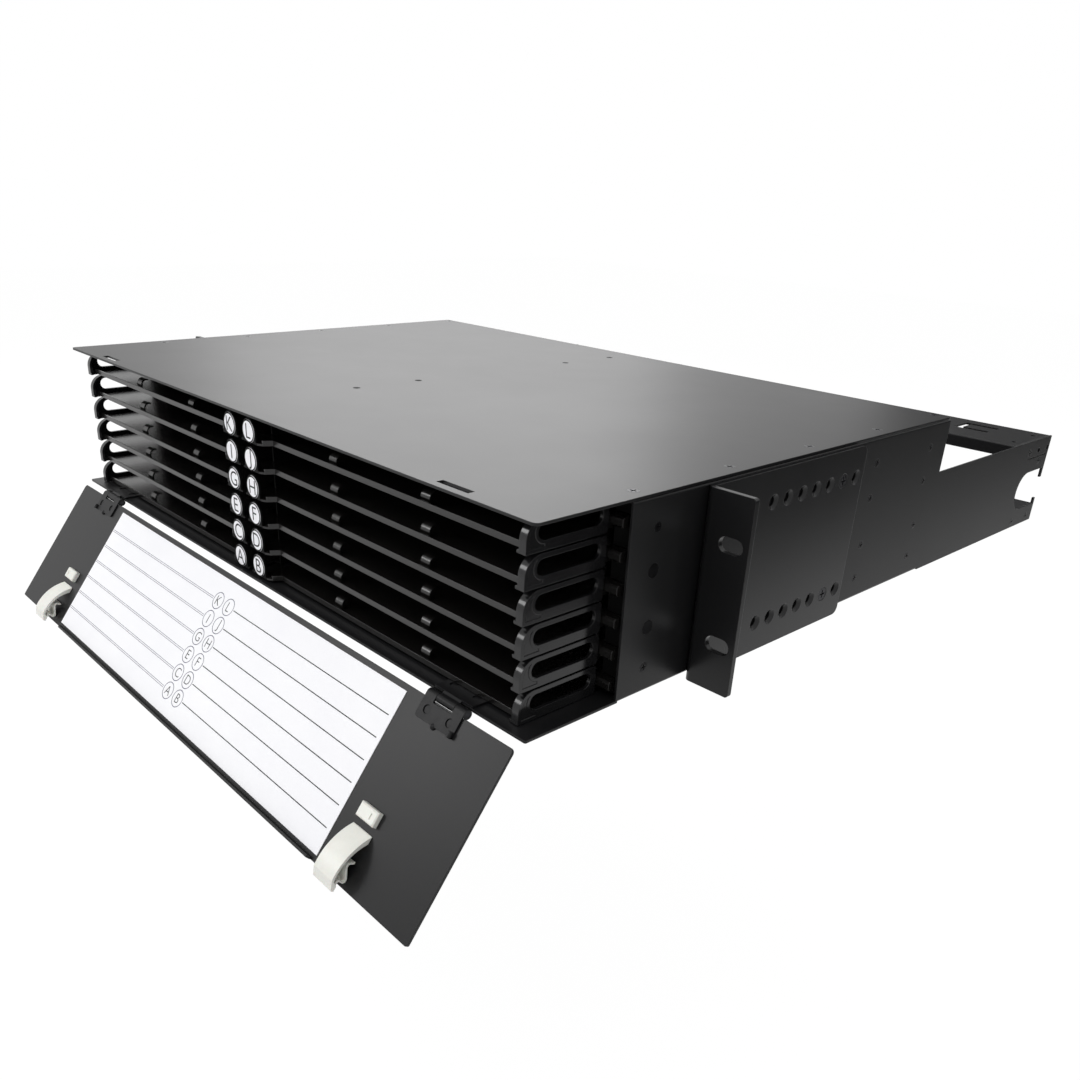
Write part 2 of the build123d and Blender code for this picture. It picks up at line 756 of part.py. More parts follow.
def make_ring():
    """The moulded cable guide: a side plate with a long eye behind a curved front face."""
    bottom = tray_first
    outline = ring_outline()
    body = along_x(outline - ring_eye(0), ring_inner, ring_outer)
    inside = offset(outline, -ring_face)
    eye_height = ring_eye_high - ring_eye_low
    front = (ring_front, ring_eye_front + eye_height / 2)
    pocket = inside & rectangle(front, (bottom, bottom + ring_height))
    body -= along_x(pocket - ring_eye(ring_rim), ring_outer - ring_pocket, ring_outer + over)
    band = outline - inside
    band &= rectangle((ring_front, ring_front + ring_front_radius), (bottom, bottom + ring_height))
    band -= rectangle((ring_front + ring_face, ring_back), (bottom, bottom + 2 * ring_face))
    face_inner = ring_outer - ring_face_width
    face_end = ring_inner + ring_wall / 2
    body += along_x(band, face_inner, face_end)
    body += block((face_inner, face_end), (ring_front + ring_face / 2, ring_base_back),
                  (bottom, bottom + tray_floor_rise))
    body += block((face_inner - ring_foot, face_inner + over), (ring_front, ring_front + ring_face),
                  (bottom, bottom + ring_foot_height))
    return body


# Door, drawn closed and swung open at the end
def opened(solid):
    pin = Pos(0, hinge_y, hinge_z)
    return pin * Rot(door_open_angle, 0, 0) * pin.inverse() * solid


def door_face_cuts():
    """Hinge notch, rivet holes and latch slot on the right, drawn in X and Z."""
    cuts = [rectangle(hinge_span(hinge_room), (door_low - over, hinge_z + hinge_barrel + hinge_room))]
    for x in hinge_rivet_places():
        cuts.append(Pos(x, hinge_z + door_rivet_at) * Circle(hinge_rivet_shank / 2 + snug))
    slot = (door_low + stem_low - latch_travel - loose, door_low + stem_high + loose)
    cuts.append(rectangle(span_about(latch_x, latch_stem + 2 * loose), slot))
    return cuts


def make_door():
    top = door_low + door_height
    face = rectangle((-door_half_width, door_half_width), (door_low, top))
    face = fillet(face.vertices().group_by(Axis.Y)[0], door_corner_radius)
    face = fillet(face.vertices().group_by(Axis.Y)[-1], sheet)
    for cut in door_face_cuts():
        face -= both_sides(cut)
    body = along_y(face, door_inner - sheet, door_inner)
    lip_half = latch_x - door_lip_end
    lip = rectangle((-lip_half, lip_half), (door_inner - sheet, door_inner + door_lip))
    lip = chamfer(lip.vertices().group_by(Axis.Y)[-1], door_lip / 2)
    return body + along_z(lip, top - sheet, top)


def knuckle(start, end):
    return along_x(Pos(hinge_y, hinge_z) * Circle(hinge_barrel), start, end)


def pin_bore():
    return rod_x(hinge_y, hinge_z, hinge_pin + hinge_fit, *hinge_span(over))


def make_door_leaf():
    low, high = hinge_span()
    window = grown(span_about(hinge_x, hinge_middle), hinge_side_gap)
    leaf = rectangle((low, high), (hinge_z, hinge_z + door_leaf_length))
    leaf = fillet(leaf.vertices().group_by(Axis.Y)[-1], hinge_corner)
    body = along_y(leaf, door_inner, door_inner + hinge_sheet)
    body += knuckle(low, window[0]) + knuckle(window[1], high)
    room = hinge_barrel + hinge_room
    window_top = hinge_leaf_top + hinge_room
    body -= block(window, (hinge_y - room, hinge_y + 2 * room), (hinge_z - room, window_top))
    bump = Pos(hinge_x, door_inner, hinge_z + door_leaf_length) * Sphere(hinge_bump)
    body += bump & block((low, high), (door_inner, door_inner + 2 * hinge_bump),
                         (hinge_z, hinge_z + 2 * door_leaf_length))
    curl_end = hinge_z + door_leaf_length + hinge_curl_over
    curl = (high - hinge_curl, door_inner + hinge_curl)
    body += rod_z(*curl, hinge_curl, curl_end - hinge_curl_length, curl_end)
    body -= rod_z(*curl, hinge_curl_bore, curl_end - hinge_curl_length / 2, curl_end + over)
    for x in hinge_rivet_places():
        body -= Pos(x, door_inner + hinge_sheet, hinge_z + door_rivet_at) * Rot(-90, 0, 0) * rivet_seat()
    return body - pin_bore()


def make_base_leaf():
    """A leaf on top of the base, with a strap that steps down to the middle knuckle."""
    start, end = span_about(hinge_x, hinge_middle)
    outline = rectangle(hinge_span(), (hinge_leaf_front, hinge_y + base_leaf_length))
    outline = fillet(outline.vertices().group_by(Axis.Y)[-1], hinge_corner)
    body = along_z(outline, sheet, hinge_leaf_top)
    knuckle_top = hinge_z + hinge_barrel
    knuckle_back = hinge_y + hinge_barrel
    strap = ((hinge_y, hinge_z), (hinge_y, knuckle_top), (door_inner, knuckle_top),
             (hinge_leaf_front, hinge_leaf_top), (hinge_leaf_front + over, hinge_leaf_top),
             (hinge_leaf_front + over, sheet), (knuckle_back, sheet), (knuckle_back, hinge_z))
    body += along_x(make_face(Polyline(*strap, close=True)), start, end)
    body += knuckle(start, end)
    for x in hinge_rivet_places():
        body -= Pos(x, hinge_y + base_rivet_at, hinge_leaf_top) * rivet_seat()
    return body - pin_bore()


def make_hinge_pin():
    return rod_x(hinge_y, hinge_z, hinge_pin, *hinge_span(-snug))


def rivet_seat():
    """The counterbore and hole that a rivet sits in, cut from the leaf's face on the origin."""
    depth = hinge_rivet_sink + hinge_rivet_head_depth
    return clinch_shape(hinge_rivet_head + 2 * snug, hinge_rivet_shank + 2 * snug, 2 * sheet, depth)


def rivet():
    """A sunk rivet, with the leaf's face on the origin and the closed end below the sheet."""
    grip = sheet + hinge_sheet
    head = clinch_shape(hinge_rivet_head, hinge_rivet_shank, grip - hinge_rivet_sink, hinge_rivet_head_depth)
    tail_middle = -grip - hinge_rivet_tail_rise / 2
    tail = Cylinder(hinge_rivet_tail / 2, hinge_rivet_tail_rise)
    return Pos(0, 0, -hinge_rivet_sink) * head + Pos(0, 0, tail_middle) * tail


def make_base_rivets():
    solids = []
    for x in hinge_rivet_places():
        solids += both_sides(Pos(x, hinge_y + base_rivet_at, hinge_leaf_top) * rivet())
    return solids


def make_door_rivets():
    turned = Rot(-90, 0, 0) * rivet()
    solids = []
    for x in hinge_rivet_places():
        solids += both_sides(Pos(x, door_inner + hinge_sheet, hinge_z + door_rivet_at) * turned)
    return solids


def make_label():
    span = (door_inner, door_inner + label_thickness)
    return block((-label_half_width, label_half_width), span, (door_low + label_low, door_low + label_high))


def on_door(solid):
    """Move a piece drawn from the door's inner face and lower edge into place."""
    return Pos(0, door_inner, door_low) * solid


def latch_profile():
    """Side view of the arch: rise from the door and distance up the door."""
    foot = (latch_clearance, latch_foot)
    middle = (latch_middle_rise, (latch_foot + latch_crown) / 2)
    crown = (latch_rise, latch_crown)
    tip = (latch_tip_rise, latch_tip)
    catch = (latch_tip_rise - latch_catch, latch_tip)
    throat = (catch[0], latch_tip - latch_catch_depth)
    inner_crown = (latch_rise - latch_sheet, latch_crown)
    inner_middle = (middle[0] - latch_sheet, middle[1] + latch_sheet / 2)
    inner_foot = (latch_clearance, latch_foot + latch_foot_length)
    edges = [
        ThreePointArc(foot, middle, crown),
        Line(crown, tip),
        Line(tip, catch),
        Line(catch, throat),
        Line(throat, inner_crown),
        ThreePointArc(inner_crown, inner_middle, inner_foot),
        Line(inner_foot, foot),
    ]
    return make_face(Curve() + edges)


def latch_spring():
    """The S-shaped spring moulded under the arch, from behind the catch down to the door."""
    top = latch_tip_rise - latch_catch / 2
    points = (
        (top, latch_tip - latch_catch),
        (top - spring_sheet, latch_tip - 2 * latch_catch_depth),
        (spring_low, latch_crown),
        (spring_low, latch_crown - 2 * spring_bend),
        (spring_high, latch_crown - spring_length),
        (spring_high, latch_crown - spring_length - 2 * spring_bend),
        (spring_low, latch_crown - spring_length - 3 * spring_bend),
    )
    return trace(FilletPolyline(*points, radius=spring_bend), spring_sheet)


def latch_stem_parts():
    """The stem that passes through the door and the hook that holds the latch to it."""
    width = span_about(latch_x, latch_stem)
    hook_face = -sheet - latch_clearance
    hook_back = hook_face - latch_hook_sheet
    stem = block(width, (hook_back, latch_clearance + latch_stem_inset), (stem_low, stem_high))
    hook = block(width, (hook_back, hook_face), (stem_low, stem_high + latch_hook))
    return stem + hook


def make_latch():
    arch = along_x(latch_profile(), *latch_span)
    spring = along_x(latch_spring(), *grown(latch_span, -spring_side_inset))
    return on_door(arch + spring + latch_stem_parts())


def make_keeper():
    body = block(span_about(latch_x, keeper_width), (0, keeper_rise), (keeper_low, keeper_high))
    body = chamfer(body.edges().group_by(Axis.Y)[-1], keeper_edge)
    mark_x = latch_x + latch_width / 5
    mark = block(span_about(mark_x, keeper_mark), (keeper_rise - keeper_mark, keeper_rise + over),
                 span_about((keeper_low + keeper_high) / 2, keeper_mark_length))
    return on_door(body - mark)


# Rear panel and rear bars
def make_rear_panel():
    low = sheet + snug
    high = under_cover - sheet - snug
    face = fillet(rectangle((-wall_in, wall_in), (low, high)).vertices(), rear_panel_corner)
    window = rectangle((rear_window_inner, inner_half - rear_window_margin),
                       (rear_window_low, rear_window_high))
    face -= both_sides(fillet(window.vertices(), rear_window_radius))
    body = along_y(face, rear_panel_y, rear_panel_y + sheet)
    tab = block((wall_in - sheet, wall_in), (rear_panel_y - rear_panel_flange, rear_panel_y + sheet),
                grown((low, high), -rear_panel_corner))
    for z in side_rows:
        tab -= rod_x(rear_column, z, side_shank / 2 + snug, wall_in - sheet - over, half_width)
    return body + both_sides(tab)


def tie_cut(x, y):
    """A C-shaped cut that leaves a tongue for a cable tie."""
    half = tie_tongue_width / 2 + tie_slot
    front, back = span_about(x, tie_tongue_length)
    outer = fillet(rectangle((front, back), (y - half, y + half)).vertices(), tie_corner)
    return outer - rectangle((front + tie_slot, back + over), (y - half + tie_slot, y + half - tie_slot))


def tie_cuts():
    first = -(tie_count - 1) / 2
    return [tie_cut((first + i) * tie_pitch, chassis_depth - tie_line) for i in range(tie_count)]


def bar_blank(low, high, tab_depth):
    """A cross bar: a flat plate between the walls with flanges folded down along all four edges."""
    plate = rectangle((-wall_in, wall_in), (bar_front, chassis_depth))
    for cut in tie_cuts():
        plate -= cut
    body = along_z(plate, high - sheet, high)
    fold = high - bar_fold
    width = (-wall_in, wall_in)
    body += block(width, (bar_front, bar_front + sheet), (low, fold))
    body += block(width, (chassis_depth - sheet, chassis_depth), (high - bar_rear_flange, fold))
    tab = block((wall_in - sheet, wall_in), (bar_front, chassis_depth), (high - tab_depth, fold))
    body += both_sides(tab)
    folds = body.faces().sort_by(Axis.Z)[-1].outer_wire().edges()
    return fillet(folds, bar_bend)


def bar_side_holes(points, radius):
    return [rod_x(y, z, radius, wall_in - 2 * sheet, half_width) for y, z in points]


def make_top_bar():
    body = bar_blank(rear_wall_height - top_bar_flange, rear_wall_height, top_bar_tab)
    cuts = bar_side_holes(top_bar_screws, side_shank / 2 + snug)
    cuts += bar_side_holes(bar_holes, bar_hole / 2)
    for y in (bar_front + bar_plate_hole_end, chassis_depth - bar_plate_hole_end):
        cuts.append(rod_z(wall_in - bar_plate_hole_inset, y, bar_hole / 2,
                          rear_wall_height - sheet - over, rear_wall_height + over))
    for cut in cuts:
        body -= both_sides(cut)
    return body


def make_bottom_bar():
    body = bar_blank(0, bottom_bar_height, bottom_bar_height)
    for cut in bar_side_holes(bottom_bar_screws, side_shank / 2 + snug):
        body -= both_sides(cut)
    return body


def save(name, *solids):
    """Write one node, moved so that the origin lies between the rack slots."""
    placed = [home * solid for solid in solids]
    part = placed[0] if len(placed) == 1 else Compound(children=placed)
    export_step(part, f"parts/{name}.step")


def save_pair(name, solid):
    """Write a right-hand piece and its mirror image as two nodes."""
    for side, piece in zip(("right", "left"), both_sides(solid)):
        save(f"{name}_{side}", piece)


save("chassis", make_chassis())
save("top_cover", make_cover())
save("countersunk_screws", *make_screws())
save("side_studs", *make_side_studs())
save("divider_rivets", *make_divider_rivets())
save("centre_divider", make_divider())
save("rear_panel", make_rear_panel())
save("rear_top_bar", make_top_bar())
save("rear_bottom_bar", make_bottom_bar())
save("centre_guides", *both_sides(make_centre_guide()))
save_pair("rack_ear", make_ear())
save_pair("side_guide", make_side_guide())

save("hinge_base_leaves", *both_sides(make_base_leaf()))
save("hinge_pins", *both_sides(make_hinge_pin()))
save("hinge_base_rivets", *make_base_rivets())
save("door_panel", opened(make_door()))
save("index_label", opened(make_label()))
save("hinge_door_leaves", *[opened(leaf) for leaf in both_sides(make_door_leaf())])
save("hinge_door_rivets", *[opened(solid) for solid in make_door_rivets()])
save("latch_keepers", *[opened(keeper) for keeper in both_sides(make_keeper())])
for side, latch in zip(("right", "left"), both_sides(make_latch())):
    save(f"latch_{side}", opened(latch))

for name, piece in (("tray", make_tray()), ("cable_guide", make_ring()), ("index_disc", make_disc())):
    for side, solid in zip(("right", "left"), both_sides(piece)):
        for index in range(tray_levels):
            save(f"{name}_{side}_{index + 1}", Pos(0, 0, tray_pitch * index) * solid)
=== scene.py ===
import bpy
import json
import math
import numpy as np
from mathutils import Euler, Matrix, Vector


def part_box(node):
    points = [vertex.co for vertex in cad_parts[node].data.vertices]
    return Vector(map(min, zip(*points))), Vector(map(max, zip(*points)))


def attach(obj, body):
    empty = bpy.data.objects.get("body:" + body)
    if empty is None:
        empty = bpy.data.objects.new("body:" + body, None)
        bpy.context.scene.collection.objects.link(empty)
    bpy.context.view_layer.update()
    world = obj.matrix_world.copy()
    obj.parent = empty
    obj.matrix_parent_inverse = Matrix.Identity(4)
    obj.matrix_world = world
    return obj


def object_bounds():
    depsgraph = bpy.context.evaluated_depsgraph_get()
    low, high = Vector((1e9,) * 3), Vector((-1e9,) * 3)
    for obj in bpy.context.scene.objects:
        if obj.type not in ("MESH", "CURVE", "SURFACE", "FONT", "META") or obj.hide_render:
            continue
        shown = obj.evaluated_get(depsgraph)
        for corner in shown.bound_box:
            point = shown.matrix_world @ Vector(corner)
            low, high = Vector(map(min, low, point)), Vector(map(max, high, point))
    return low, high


# Looks for a two-unit rack enclosure for optical fibre: satin black powder coat, black
# moulded cable guides, white index discs, a printed label and off-white sprung latches.
# Everything is placed in metres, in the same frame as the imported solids. The dictionaries of the
# coats, the discs and the label give millimetres; those of the camera and the studio give metres.

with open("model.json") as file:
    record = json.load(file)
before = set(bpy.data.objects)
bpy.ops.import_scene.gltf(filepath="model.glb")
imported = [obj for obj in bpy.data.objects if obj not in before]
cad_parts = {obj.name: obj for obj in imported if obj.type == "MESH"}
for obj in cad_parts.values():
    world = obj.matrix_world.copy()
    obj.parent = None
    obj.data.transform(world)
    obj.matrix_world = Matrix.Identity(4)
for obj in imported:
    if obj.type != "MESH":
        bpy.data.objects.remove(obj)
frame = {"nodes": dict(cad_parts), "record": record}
nodes = frame["nodes"]
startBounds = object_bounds()
print("frame loaded:", len(nodes), "nodes")

millimetre = 0.001
signs = {"left": -1, "right": 1}
levels = range(1, 7)
pureWhite = "#ffffff"


# sRGB hex to the linear values that the shaders want
def hexColour(text):
    values = [int(text[i:i + 2], 16) / 255 for i in (1, 3, 5)]
    linear = [v / 12.92 if v <= 0.04045 else ((v + 0.055) / 1.055) ** 2.4 for v in values]
    return (*linear, 1.0)


# One node with its settings, its socket values and its incoming links
def addNode(tree, kind, values=None, links=None, **settings):
    node = tree.nodes.new(kind)
    for name, value in settings.items():
        setattr(node, name, value)
    for socket, value in (values or {}).items():
        node.inputs[socket].default_value = value
    for socket, source in (links or {}).items():
        tree.links.new(source, node.inputs[socket])
    return node


# The node tree of a material or a world, emptied
def emptyTree(owner):
    owner.use_nodes = True
    owner.node_tree.nodes.clear()
    return owner.node_tree


# A material with one Principled shader; values go on the shader's own sockets
def newMaterial(name, values):
    material = bpy.data.materials.new(name)
    tree = emptyTree(material)
    shader = addNode(tree, "ShaderNodeBsdfPrincipled", values=values)
    addNode(tree, "ShaderNodeOutputMaterial", links={"Surface": shader.outputs["BSDF"]})
    return material, tree, shader


# How the noise is used in every material: the colour goes from its dark tone at rampStart to its
# light one at rampEnd, and the roughness from one end to the other between driftLow and driftHigh
noiseUse = {
    "patchDetail": 3.0, "patchRoughness": 0.6, "grainDetail": 2.0, "grainRoughness": 0.55,
    "rampStart": 0.35, "rampEnd": 0.75, "driftLow": 0.3, "driftHigh": 0.7, "bevelSamples": 6}


# Colour drifts between two tones at the patch size, roughness wanders a little with it, and a
# fine grain raises the surface; the bevel rounds the normals at the sheet's cut edges.
def grainedMaterial(look):
    material, tree, shader = newMaterial(look["name"], look["shader"])
    place = addNode(tree, "ShaderNodeTexCoord")
    patches = addNode(tree, "ShaderNodeTexNoise", links={"Vector": place.outputs["Object"]},
                      values={"Scale": 1 / (look["patch"] * millimetre),
                              "Detail": noiseUse["patchDetail"],
                              "Roughness": noiseUse["patchRoughness"]})
    grain = addNode(tree, "ShaderNodeTexNoise", links={"Vector": place.outputs["Object"]},
                    values={"Scale": 1 / (look["grain"] * millimetre),
                            "Detail": noiseUse["grainDetail"],
                            "Roughness": noiseUse["grainRoughness"]})
    blend = addNode(tree, "ShaderNodeMath", operation="MULTIPLY_ADD",
                    links={0: grain.outputs["Fac"], 2: patches.outputs["Fac"]},
                    values={1: look["speckle"]})
    tones = addNode(tree, "ShaderNodeValToRGB", links={"Fac": blend.outputs["Value"]})
    stops = ((noiseUse["rampStart"], "dark"), (noiseUse["rampEnd"] + look["speckle"] / 2, "light"))
    for element, (position, tone) in zip(tones.color_ramp.elements, stops):
        element.position = position
        element.color = hexColour(look[tone])
    gloss = addNode(tree, "ShaderNodeMapRange", links={"Value": patches.outputs["Fac"]},
                    values={"From Min": noiseUse["driftLow"], "From Max": noiseUse["driftHigh"],
                            "To Min": look["rough"][0], "To Max": look["rough"][1]})
    edge = addNode(tree, "ShaderNodeBevel", values={"Radius": look["edge"] * millimetre},
                   samples=noiseUse["bevelSamples"])
    bump = addNode(tree, "ShaderNodeBump",
                   links={"Height": grain.outputs["Fac"], "Normal": edge.outputs["Normal"]},
                   values={"Strength": look["relief"], "Distance": look["depth"] * millimetre})
    tree.links.new(tones.outputs["Color"], shader.inputs["Base Color"])
    tree.links.new(gloss.outputs["Result"], shader.inputs["Roughness"])
    tree.links.new(bump.outputs["Normal"], shader.inputs["Normal"])
    return material


# Sizes in the coats below: patch is how wide the drifts of colour are, grain how wide the fine
# bumps are and depth how deep. The real grain of coats, plate and mouldings is 0.1 to 0.3 mm
# across; it is drawn two to four times as coarse so that it shows.

# Steel sheet with a baked polyester powder coat: near black, satin, with a fine orange peel. It
# is matt when looked at squarely and shines only at a low angle, as on the cover.
powderCoat = {
    "name": "powder_coated_steel", "dark": "#101011", "light": "#151516", "speckle": 0.5,
    "patch": 90.0, "grain": 0.9, "relief": 0.15, "depth": 0.02, "rough": (0.36, 0.385), "edge": 0.35,
    "shader": {"IOR": 1.5, "Specular IOR Level": 0.25, "Metallic": 0.0}}

# The trays have the same kind of coat, thinner, slicker and a little warmer: their front lips
# catch the light as thin grey bars.
trayCoat = {
    "name": "powder_coated_tray_steel", "dark": "#0f0e0e", "light": "#171615", "speckle": 0.4,
    "patch": 40.0, "grain": 0.8, "relief": 0.08, "depth": 0.015, "rough": (0.21, 0.25), "edge": 0.3,
    "shader": {"IOR": 1.5, "Specular IOR Level": 0.45, "Metallic": 0.0}}

# Blackened steel of the hinges: as dark as the coat and duller, with small greyer patches
hingeSteel = {
    "name": "black_oxide_hinge_steel", "dark": "#0e0e0f", "light": "#171718", "speckle": 0.6,
    "patch": 6.0, "grain": 0.5, "relief": 0.12, "depth": 0.01, "rough": (0.36, 0.44), "edge": 0.25,
    "shader": {"IOR": 1.5, "Specular IOR Level": 0.17, "Metallic": 0.0}}

# Black zinc plate on the screws and hinge pins: metal that shines through the black
blackZinc = {
    "name": "black_zinc_plated_steel", "dark": "#161618", "light": "#303034", "speckle": 0.5,
    "patch": 2.5, "grain": 0.4, "relief": 0.1, "depth": 0.01, "rough": (0.26, 0.4), "edge": 0.2,
    "shader": {"Metallic": 0.85}}

# Studs in the side walls: the same plate, dull, with its colour painted darker than the wall round it as
# painted shade of a recess round each stud
shadedZinc = {
    "name": "black_zinc_painted_darker_as_recess_shade", "dark": "#070708", "light": "#141416", "speckle": 0.5,
    "patch": 2.5, "grain": 0.4, "relief": 0.1, "depth": 0.01, "rough": (0.3, 0.45), "edge": 0.25,
    "shader": {"Metallic": 0.8}}

# The ears are coated on their own, a little slicker, so that their cut edges catch the light
earCoat = dict(powderCoat, name="powder_coated_ear_steel", rough=(0.27, 0.3),
               shader={"IOR": 1.5, "Specular IOR Level": 0.3, "Metallic": 0.0})

# Moulded racks of the runners: matt black nylon, painted darker than the cable guides' black plastic as
# painted shade between the trays
shadedRackNylon = {
    "name": "black_nylon_painted_darker_as_shade", "dark": "#060606", "light": "#0a0a0a", "speckle": 0.4,
    "patch": 20.0, "grain": 0.6, "relief": 0.1, "depth": 0.01, "rough": (0.5, 0.6), "edge": 0.3,
    "shader": {"IOR": 1.5, "Specular IOR Level": 0.08, "Metallic": 0.0}}

# Coated heads of the divider's rivets, matt enough to read as dark dots in the cover's shine
rivetCoat = {
    "name": "matt_coated_rivet_heads", "dark": "#0f0f10", "light": "#161617", "speckle": 0.4,
    "patch": 4.0, "grain": 0.5, "relief": 0.3, "depth": 0.03, "rough": (0.7, 0.8), "edge": 0.3,
    "shader": {"IOR": 1.5, "Specular IOR Level": 0.15, "Metallic": 0.0}}

# The sheet between the two columns of trays: a flatter coat, painted darker than the rest of the powder
# coat as painted shade, so that its thin front edge stays dark between the discs and the hooks
shadedDividerCoat = {
    "name": "divider_coat_painted_darker_as_shade", "dark": "#070707", "light": "#0b0b0b", "speckle": 0.4,
    "patch": 40.0, "grain": 0.9, "relief": 0.1, "depth": 0.015, "rough": (0.6, 0.7), "edge": 0.05,
    "shader": {"IOR": 1.5, "Specular IOR Level": 0.08, "Metallic": 0.0}}

# Moulded black ABS of the cable guides: a fine spark-eroded mould texture and crisp highlights
# on every rounded edge
blackPlastic = {
    "name": "moulded_black_abs", "dark": "#131314", "light": "#1a1a1b", "speckle": 0.4,
    "patch": 18.0, "grain": 0.6, "relief": 0.06, "depth": 0.01, "rough": (0.13, 0.17), "edge": 0.3,
    "shader": {"IOR": 1.53, "Specular IOR Level": 0.33, "Metallic": 0.0}}

# Off-white moulded acetal of the latches: faintly waxy, slightly warm, light passes a little
latchPlastic = {
    "name": "moulded_white_acetal", "dark": "#dfdfd8", "light": "#ebebe4", "speckle": 0.3,
    "patch": 8.0, "grain": 0.5, "relief": 0.1, "depth": 0.01, "rough": (0.32, 0.4), "edge": 0.35,
    "shader": {"IOR": 1.48, "Specular IOR Level": 0.5, "Subsurface Weight": 0.04,
               "Subsurface Scale": 0.002}}

# Matt polyester film of the label and the discs: clean white, a touch cool, with a paper tooth
labelFilm = {
    "name": "matt_label_film", "dark": "#f0f0f4", "light": "#f8f8fa", "speckle": 0.3,
    "patch": 60.0, "grain": 0.7, "relief": 0.06, "depth": 0.01, "rough": (0.45, 0.55), "edge": 0.1,
    "shader": {"IOR": 1.46, "Specular IOR Level": 0.4}}

# Each slot of the solids has one material; a few nodes have their own coat instead
slotLooks = {
    "black_powder_coat": powderCoat, "tray_powder_coat": trayCoat, "black_hinge_steel": hingeSteel,
    "black_zinc_steel": blackZinc, "black_plastic": blackPlastic,
    "white_latch_plastic": latchPlastic, "printed_label": labelFilm}
nodeLooks = {"side_studs": shadedZinc, "divider_rivets": rivetCoat, "rack_ear_right": earCoat,
             "side_guide_right": shadedRackNylon, "centre_divider": shadedDividerCoat}
sameCoat = {"rack_ear_left": "rack_ear_right", "side_guide_left": "side_guide_right",
            "centre_guides": "side_guide_right"}
slotMaterials = {slot: grainedMaterial(look) for slot, look in slotLooks.items()}
nodeMaterials = {node: grainedMaterial(look) for node, look in nodeLooks.items()}
nodeMaterials.update({node: nodeMaterials[other] for node, other in sameCoat.items()})
for node in ("hinge_door_rivets", "hinge_base_rivets"):
    nodeMaterials[node] = slotMaterials["black_hinge_steel"]
for subpart in frame["record"]["subparts"]:
    name = subpart["node"]
    slots = nodes[name].data.materials
    slots.clear()
    slots.append(nodeMaterials.get(name, slotMaterials[subpart["material_slot"]]))
print("materials assigned:", len(slotMaterials) + len(nodeLooks))

# Printing ink: thin, dry and dark, with a little of the film's tooth in it
inkLook = {
    "name": "screen_printed_ink", "dark": "#101014", "light": "#1c1c22", "speckle": 0.3,
    "patch": 5.0, "grain": 0.4, "relief": 0.05, "depth": 0.005, "rough": (0.5, 0.6), "edge": 0.05,
    "shader": {"IOR": 1.46, "Specular IOR Level": 0.3}}
ink = grainedMaterial(inkLook)

# The same ink in strokes so fine that the white film shows beside them: it reads as blue grey
fineInk = grainedMaterial(dict(inkLook, name="fine_line_ink", dark="#484860", light="#585870"))

# A dark rim round each sticker, and painted shade on the index tabs and the tongues' front edges: as
# matt and black as the moulded racks, so that only the stickers show
rimAndTabShadeCoat = grainedMaterial(dict(shadedRackNylon, name="dark_rim_and_painted_tab_shade"))


# An object in the scene for a mesh, a text, a light or a camera
def newObject(name, data):
    thing = bpy.data.objects.new(name, data)
    bpy.context.scene.collection.objects.link(thing)
    return thing


# A mesh object from arrays of points and faces
def meshObject(name, points, faces, material):
    mesh = bpy.data.meshes.new(name)
    mesh.from_pydata(np.asarray(points).tolist(), [], np.asarray(faces).tolist())
    mesh.update()
    mesh.materials.append(material)
    return newObject(name, mesh)


# A piece of the object itself, which rides on one of its bodies
def newPiece(name, points, faces, material, body, slotName):
    piece = meshObject(name, points, faces, material)
    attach(piece, body)


# Several shapes as one: the faces of each are counted on from the points of those before it
def gather(shapes):
    starts = np.cumsum([0] + [len(points) for points, faces in shapes])
    shifted = [np.asarray(faces) + start for (points, faces), start in zip(shapes, starts)]
    return np.concatenate([points for points, faces in shapes]), np.concatenate(shifted)


letterCurveSteps = 6


# The outline of one letter in the built-in face, filled with triangles, lying in its own plane
def letterMesh(letter, thin):
    text = bpy.data.curves.new("letter", "FONT")
    text.body = letter
    text.offset = thin
    text.resolution_u = letterCurveSteps
    holder = newObject("letter", text)
    bpy.context.view_layer.update()
    mesh = bpy.data.meshes.new_from_object(holder)
    points = np.zeros(len(mesh.vertices) * 3)
    mesh.vertices.foreach_get("co", points)
    faces = [list(p.vertices) for p in mesh.polygons]
    bpy.data.objects.remove(holder)
    bpy.data.curves.remove(text)
    bpy.data.meshes.remove(mesh)
    return points.reshape(-1, 3), faces


# Height of the built-in capitals, from an H
capHeight = np.ptp(letterMesh("H", 0.0)[0][:, 1])


# Letters are printed flat. The letter is centred on its own box, and each point (u, v) of it
# goes to origin + u * across + v * up, lifted off the surface by its normal.
def placeLetter(letter, look, origin, across, up):
    points, faces = letterMesh(letter, look["thin"])
    middle = (points[:, :2].min(0) + points[:, :2].max(0)) / 2
    flat = (points[:, :2] - middle) * look["height"] * millimetre / capHeight
    normal = np.cross(across, up)
    lifted = np.asarray(origin) + normal * look["lift"] * millimetre
    return lifted + flat[:, :1] * np.asarray(across) + flat[:, 1:2] * np.asarray(up), faces


# A flat ring: points at an angle a lie at the middle plus the radius times (cos a, sin a), on
# two circles that are a stroke apart, joined by a strip of quads. Flat shapes are measured
# across and down, and their faces run clockwise, so that they face the reader.
def ringShape(middle, radius, stroke, count=48):
    angle = np.linspace(0, 2 * np.pi, count, endpoint=False)
    circle = np.stack([np.cos(angle), np.sin(angle)], 1)
    flat = np.concatenate([middle + circle * (radius - stroke / 2),
                           middle + circle * (radius + stroke / 2)])
    index = np.arange(count)
    after = (index + 1) % count
    return flat, np.stack([index, after, after + count, index + count], 1)


# Index letters on the discs, A and B on the lowest trays, K and L on the highest, and a dark rim
# round each white sticker
discLetters = {"left": "ACEGIK", "right": "BDFHJL"}
discLetter = {"height": 7.4, "thin": -0.004, "lift": 0.02}
discRim = {"stroke": 0.75, "lift": 0.02}
